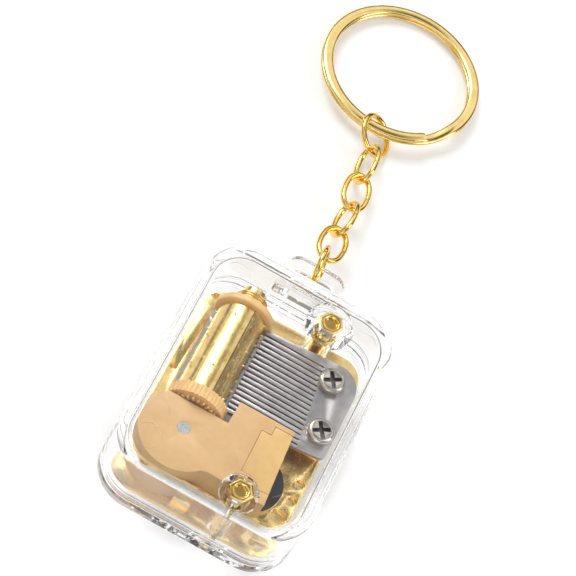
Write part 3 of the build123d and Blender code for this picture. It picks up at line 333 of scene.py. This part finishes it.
def swept(name, node, path, across, closed):
    """Tube that follows path; across(share) gives its cross-section at that share of the way."""
    shape = bmesh.new()
    rings = []
    for index, (middle, outward, normal) in enumerate(path):
        section = across(index / len(path))
        rings.append([shape.verts.new(middle + outward * u + normal * v) for u, v in section])
    pairs = list(zip(rings, rings[1:])) + ([(rings[-1], rings[0])] if closed else [])
    for first, second in pairs:
        for k in range(len(first)):
            shape.faces.new((first[k - 1], first[k], second[k], second[k - 1]))
    if not closed:
        shape.faces.new(rings[0][::-1])
        shape.faces.new(rings[-1])
    bmesh.ops.recalc_face_normals(shape, faces=shape.faces)
    mesh = bpy.data.meshes.new(name)
    shape.to_mesh(mesh)
    shape.free()
    mesh.shade_smooth()
    mesh.set_sharp_from_angle(angle=SHARP)
    made = place(name, mesh, node)
    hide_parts(node)
    return made


def own_axes(node):
    """Middle of a loop and its long, short and normal directions, from the node's own points."""
    points = np.array([v.co for v in nodes[node].data.vertices])
    middle = (points.max(0) + points.min(0)) / 2
    axes = np.linalg.svd(points - points.mean(0), full_matrices=False)[2]
    spans = (points - middle) @ axes.T
    middle = middle + axes.T @ ((spans.max(0) + spans.min(0)) / 2)
    half = (spans.max(0) - spans.min(0)) / 2
    return Vector(middle), [Vector(a) for a in axes], half


LOOP_STEPS = 120
WIRE_SIDES = 20
STADIUM_END = 2.2       # how soon a stadium's straight side begins
STADIUM_SHARE = 0.35    # the rest of a link's outline is an ellipse
GROOVE_AT = 0.25        # share of the way round at which the wire's ends meet
GROOVE_HALF = 0.4       # in steps
GROOVE_SIZE = 0.86      # wire radius in the groove
LOOPS = ("lug_ring", "chain_link_1", "chain_link_2", "chain_link_3", "chain_link_4", "end_ring")
for node in LOOPS:
    middle, (long_way, short_way, normal), half = own_axes(node)
    wire = half[2]
    reach, width = half[0] - wire, half[1] - wire
    path = []
    for step in range(LOOP_STEPS):
        turn = 2 * math.pi * (step + 0.5) / LOOP_STEPS
        # between a stadium and an ellipse, as a link that was bent round a mandrel
        along, side = math.cos(turn), math.sin(turn)
        straight = reach - width
        shift = math.copysign(straight, along) * min(1.0, abs(along) * STADIUM_END)
        stadium = Vector((shift + width * along, width * side))
        ellipse = Vector((reach * along, width * side))
        spot = stadium * STADIUM_SHARE + ellipse * (1 - STADIUM_SHARE)
        slope = Vector((along / reach, side / width)).normalized()
        path.append((middle + long_way * spot.x + short_way * spot.y,
                     long_way * slope.x + short_way * slope.y, normal))

    def wire_section(share, wire=wire):
        # the ends of the wire meet half way along one side, with a hairline groove
        groove = abs(share - GROOVE_AT) < GROOVE_HALF / LOOP_STEPS
        r = wire * (GROOVE_SIZE if groove else 1.0)
        turns = [2 * math.pi * k / WIRE_SIDES for k in range(WIRE_SIDES)]
        return [(r * math.cos(turn), r * math.sin(turn)) for turn in turns]

    swept(node + "_wire", node, path, wire_section, closed=True)

# the split ring: two turns of a flattened wire, joined by a jog
RING_HEADING = math.radians(-3.0)
RING_TILT = math.radians(-3.7)
JOG = (math.radians(-52.0), math.radians(-25.0))
RING_STEPS = 480
RING_SIDES = 28
RING_CROWN = 0.95       # below 1 the wire's section is fuller than an ellipse
END_SIZE = 0.8          # section at a cut end of the wire
END_GROWTH = 0.25       # by which the section grows in each END_STEPS steps, up to full size
END_STEPS = 3
TURN_GAP = 0.1          # between the ring's two turns
ring_along = Vector((math.sin(RING_HEADING) * math.cos(RING_TILT),
                     math.cos(RING_HEADING) * math.cos(RING_TILT), math.sin(RING_TILT)))
ring_x = ring_along.cross(Vector((0, 0, 1))).normalized()
ring_z = ring_x.cross(ring_along)
ring_points = np.array([v.co for v in nodes["split_ring"].data.vertices])
ring_frame = np.array([ring_x, ring_along, ring_z])
ring_spans = ring_points @ ring_frame.T
ring_middle = Vector(ring_frame.T @ ((ring_spans.max(0) + ring_spans.min(0)) / 2))
ring_outer = (ring_spans[:, 0].max() - ring_spans[:, 0].min()) / 2
ring_inner = np.linalg.norm((ring_points - np.array(ring_middle)) @ ring_frame[:2].T, axis=1).min()
ring_width = ring_outer - ring_inner
ring_height = ring_spans[:, 2].max() - ring_spans[:, 2].min()
turn_gap = TURN_GAP * MM
wire_thick = (ring_height - turn_gap) / 2
full_turns = 2 * (2 * math.pi - (JOG[1] - JOG[0])) + (JOG[1] - JOG[0])
path = []
for step in range(RING_STEPS + 1):
    angle = JOG[1] + full_turns * step / RING_STEPS
    share = min(1.0, max(0.0, (angle - JOG[0] - 2 * math.pi) / (JOG[1] - JOG[0])))
    rise = (share * share * (3 - 2 * share) - 0.5) * (wire_thick + turn_gap)
    outward = ring_x * math.cos(angle) + ring_along * math.sin(angle)
    spot = ring_middle + outward * (ring_outer - ring_width / 2) + ring_z * rise
    path.append((spot, outward, ring_z))


def ring_section(share):
    """Flattened wire with softly crowned faces, drawn in a little at its two cut ends."""
    ends = min(1.0, min(share, 1 - share) * RING_STEPS / END_STEPS * END_GROWTH + END_SIZE)
    section = []
    for k in range(RING_SIDES):
        turn = 2 * math.pi * (k + 0.5) / RING_SIDES
        u, v = math.cos(turn), math.sin(turn)
        section.append((ends * ring_width / 2 * math.copysign(abs(u) ** RING_CROWN, u),
                        ends * wire_thick / 2 * math.copysign(abs(v) ** RING_CROWN, v)))
    return section


swept("split_ring_wire", "split_ring", path, ring_section, closed=False)

# ---------------------------------------------------------------- case and movement
SEAM_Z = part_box("cover_shell")[0].z / MM
BED_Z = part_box("bedplate")[0].z / MM
BED_T = 1.2
BED_TOP = BED_Z + BED_T
AIR = 0.02
parted("cover_shell", ((SEAM_Z, AIR), (BED_TOP, AIR)))
parted("base_tray", ((SEAM_Z, -AIR), (BED_Z, -AIR)))
softened("governor_housing", 0.18)
softened("housing_lid", 0.12)
softened("comb", 0.05)
softened("bedplate", 0.1)
softened("case_nuts", 0.08)
softened("cylinder_cap", 0.1)

# the comb's screws: painted shade in the cross recess, a darker metal than the head's
screws = softened("comb_screws", 0.07)
recess_shade_look = metal("recess_shade_look", linear(120, 116, 110), linear(84, 80, 76), (0.3, 0.45), 8.0)
screws.data.materials.append(recess_shade_look.material)
HEAD_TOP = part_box("comb_screws")[1].z
COMB_SCREW_AT = ((12.4, 13.0), (14.9, 1.7))
RECESS_R = 1.95
RECESS_TOP = 0.25       # below the head's top
RECESS_BOTTOM = 1.25
DOWNWARD = -0.3         # a face whose normal dips below this is the head's underside


def in_recess(spot):
    """Whether that point lies in the cross recess of one of the comb's screws."""
    if not HEAD_TOP - RECESS_BOTTOM * MM < spot.z < HEAD_TOP - RECESS_TOP * MM:
        return False
    return any((Vector(at) * MM - spot.xy).length < RECESS_R * MM for at in COMB_SCREW_AT)


# faces inside the recess take the darker metal, as painted shade
for face in screws.data.polygons:
    if face.normal.z > DOWNWARD and in_recess(face.center):
        face.material_index = 1

# painted shade in the open joint of the cylinder's rolled sheet: a thin dark strip laid in its
# groove
low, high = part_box("cylinder")
axis_x, axis_z = (low.x + high.x) / 2, (low.z + high.z) / 2
SHEET_R = 5.0
JOINT_ANGLE = math.radians(17.5)
JOINT_STEPS = 40
JOINT_END = 0.1         # from the sheet's ends
JOINT_TOP = SHEET_R - 0.05
JOINT_FLOOR = SHEET_R - 0.14
JOINT_HALF_W = 0.075
JOINT_WAVER = 0.015     # the joint's width isn't even
WAVER_STEP = 1.7
joint = bmesh.new()
outward = Vector((math.sin(JOINT_ANGLE), 0, math.cos(JOINT_ANGLE)))
sideways = Vector((math.cos(JOINT_ANGLE), 0, -math.sin(JOINT_ANGLE)))
run = high.y - low.y - 2 * JOINT_END * MM
rows = []
for step in range(JOINT_STEPS + 1):
    y = low.y + JOINT_END * MM + run * step / JOINT_STEPS
    half = (JOINT_HALF_W + JOINT_WAVER * math.sin(step * WAVER_STEP)) * MM
    middle = Vector((axis_x, y, axis_z))
    corners = (JOINT_FLOOR, -half), (JOINT_TOP, -half), (JOINT_TOP, half), (JOINT_FLOOR, half)
    rows.append([joint.verts.new(middle + outward * r * MM + sideways * w) for r, w in corners])
for first, second in zip(rows, rows[1:]):
    for k in range(4):
        joint.faces.new((first[k - 1], first[k], second[k], second[k - 1]))
joint.faces.new(rows[0])
joint.faces.new(rows[-1][::-1])
bmesh.ops.recalc_face_normals(joint, faces=joint.faces)
joint_shade_mesh = bpy.data.meshes.new("cylinder_joint_shade")
joint.to_mesh(joint_shade_mesh)
joint.free()
# dark brown metal that stands in for the shade inside the joint
joint_shade_look = metal("joint_shade_look", linear(120, 84, 40), linear(86, 58, 26), (0.4, 0.6), 8.0)
joint_shade_mesh.materials.append(joint_shade_look.material)
place("cylinder_joint_shade", joint_shade_mesh, "cylinder")

# ---------------------------------------------------------------- camera
AZIMUTH = math.radians(-3.346)
ELEVATION = math.radians(57.354)
ROLL = math.radians(31.977)
DISTANCE = 554.986 * MM
LENS = 168.639
TARGET = Vector((-3.527, 34.411, 0)) * MM
back = Vector((math.sin(AZIMUTH) * math.cos(ELEVATION),
               -math.cos(AZIMUTH) * math.cos(ELEVATION), math.sin(ELEVATION)))
level = (-back).cross(Vector((0, 0, 1))).normalized()
upward = level.cross(-back)
camera_x = level * math.cos(ROLL) + upward * math.sin(ROLL)
camera_y = upward * math.cos(ROLL) - level * math.sin(ROLL)
camera_data = bpy.data.cameras.new("camera")
camera_data.sensor_width = 36
camera_data.lens = LENS
camera_data.clip_start = 0.01
camera_data.clip_end = 20
camera = bpy.data.objects.new("camera", camera_data)
camera.matrix_world = Matrix.Translation(TARGET + back * DISTANCE) @ Matrix(
    (camera_x, camera_y, back)).transposed().to_4x4()
bpy.context.scene.collection.objects.link(camera)
bpy.context.scene.camera = camera

# ---------------------------------------------------------------- floor and light
FLOOR_HALF = 1.5        # metres
FLOOR_DROP = 0.02       # millimetres below the case
FLOOR_GLOW = 0.12
WHITE = (1, 1, 1, 1)
LAMP_AIM = Vector((0, 0.02, 0))
floor_mesh = bpy.data.meshes.new("floor")
shape = bmesh.new()
bmesh.ops.create_grid(shape, x_segments=2, y_segments=2, size=FLOOR_HALF)
shape.to_mesh(floor_mesh)
shape.free()
floor = bpy.data.objects.new("floor", floor_mesh)
bpy.context.scene.collection.objects.link(floor)
floor.location.z = -FLOOR_DROP * MM
floor_look = Look("floor_look", Roughness=0.7)
paper = floor_look.noise(0.05, detail=3)
floor_look.colour(floor_look.ramp(paper, (0.3, (0.9, 0.9, 0.9)), (0.7, (0.93, 0.93, 0.93))))
floor_look.roughness(floor_look.spread(paper, 0.6, 0.8))
floor_look.shader.inputs["Emission Color"].default_value = WHITE
floor_look.shader.inputs["Emission Strength"].default_value = FLOOR_GLOW
floor_mesh.materials.append(floor_look.material)


def soft_box(name, spot, size, watts):
    """White rectangular area lamp that faces the movement."""
    lamp = bpy.data.lights.new(name, "AREA")
    lamp.shape = "RECTANGLE"
    lamp.size, lamp.size_y = size
    lamp.energy = watts
    obj = bpy.data.objects.new(name, lamp)
    obj.location = spot
    aim = (LAMP_AIM - Vector(spot)).to_track_quat("-Z", "Y")
    obj.rotation_euler = aim.to_euler()
    bpy.context.scene.collection.objects.link(obj)


soft_box("key_lamp", (-0.5, 0.45, 0.75), (0.45, 0.45), 4.0)
soft_box("fill_lamp", (0.65, 0.1, 0.5), (0.25, 0.6), 1.6)
soft_box("front_lamp", (0.1, -0.8, 0.4), (0.6, 0.2), 1.0)

WORLD_STRENGTH = 1.1
SKY_GREYS = ((0.1, 0.12), (0.3, 0.3), (0.5, 0.95))    # height and grey
SKY_BOTTOM = 0.3
SKY_TOP = 0.9
world = bpy.data.worlds.new("studio")
bpy.context.scene.world = world
world.use_nodes = True
sky = world.node_tree
background = sky.nodes["Background"]
direction = sky.nodes.new("ShaderNodeTexCoord")
split = sky.nodes.new("ShaderNodeSeparateXYZ")
height = sky.nodes.new("ShaderNodeValToRGB")
sky.links.new(direction.outputs["Generated"], split.inputs[0])
sky.links.new(split.outputs["Z"], height.inputs["Fac"])
# dark screens among the soft boxes, which give the metal its contrast
screens = sky.nodes.new("ShaderNodeTexNoise")
screens.inputs["Scale"].default_value = 2.1
screens.inputs["Detail"].default_value = 0.5
edge = sky.nodes.new("ShaderNodeMapRange")
edge.inputs["From Min"].default_value = 0.44
edge.inputs["From Max"].default_value = 0.54
edge.inputs["To Min"].default_value = 0.12
dimmed = sky.nodes.new("ShaderNodeVectorMath")
dimmed.operation = "SCALE"
sky.links.new(direction.outputs["Generated"], screens.inputs["Vector"])
sky.links.new(screens.outputs["Fac"], edge.inputs["Value"])
sky.links.new(height.outputs["Color"], dimmed.inputs[0])
sky.links.new(edge.outputs["Result"], dimmed.inputs["Scale"])
sky.links.new(dimmed.outputs["Vector"], background.inputs["Color"])
stops = height.color_ramp.elements
for position, grey in SKY_GREYS:
    stops.new(position).color = (grey, grey, grey, 1)
stops[0].color = (SKY_BOTTOM, SKY_BOTTOM, SKY_BOTTOM, 1)
stops[-1].color = (SKY_TOP, SKY_TOP, SKY_TOP, 1)
background.inputs["Strength"].default_value = WORLD_STRENGTH

# the clear case sends light round inside many times before it gets out
scene = bpy.context.scene
scene.cycles.max_bounces = 128
scene.cycles.transmission_bounces = 128
scene.cycles.glossy_bounces = 24
scene.cycles.transparent_max_bounces = 48
scene.view_settings.view_transform = "Standard"
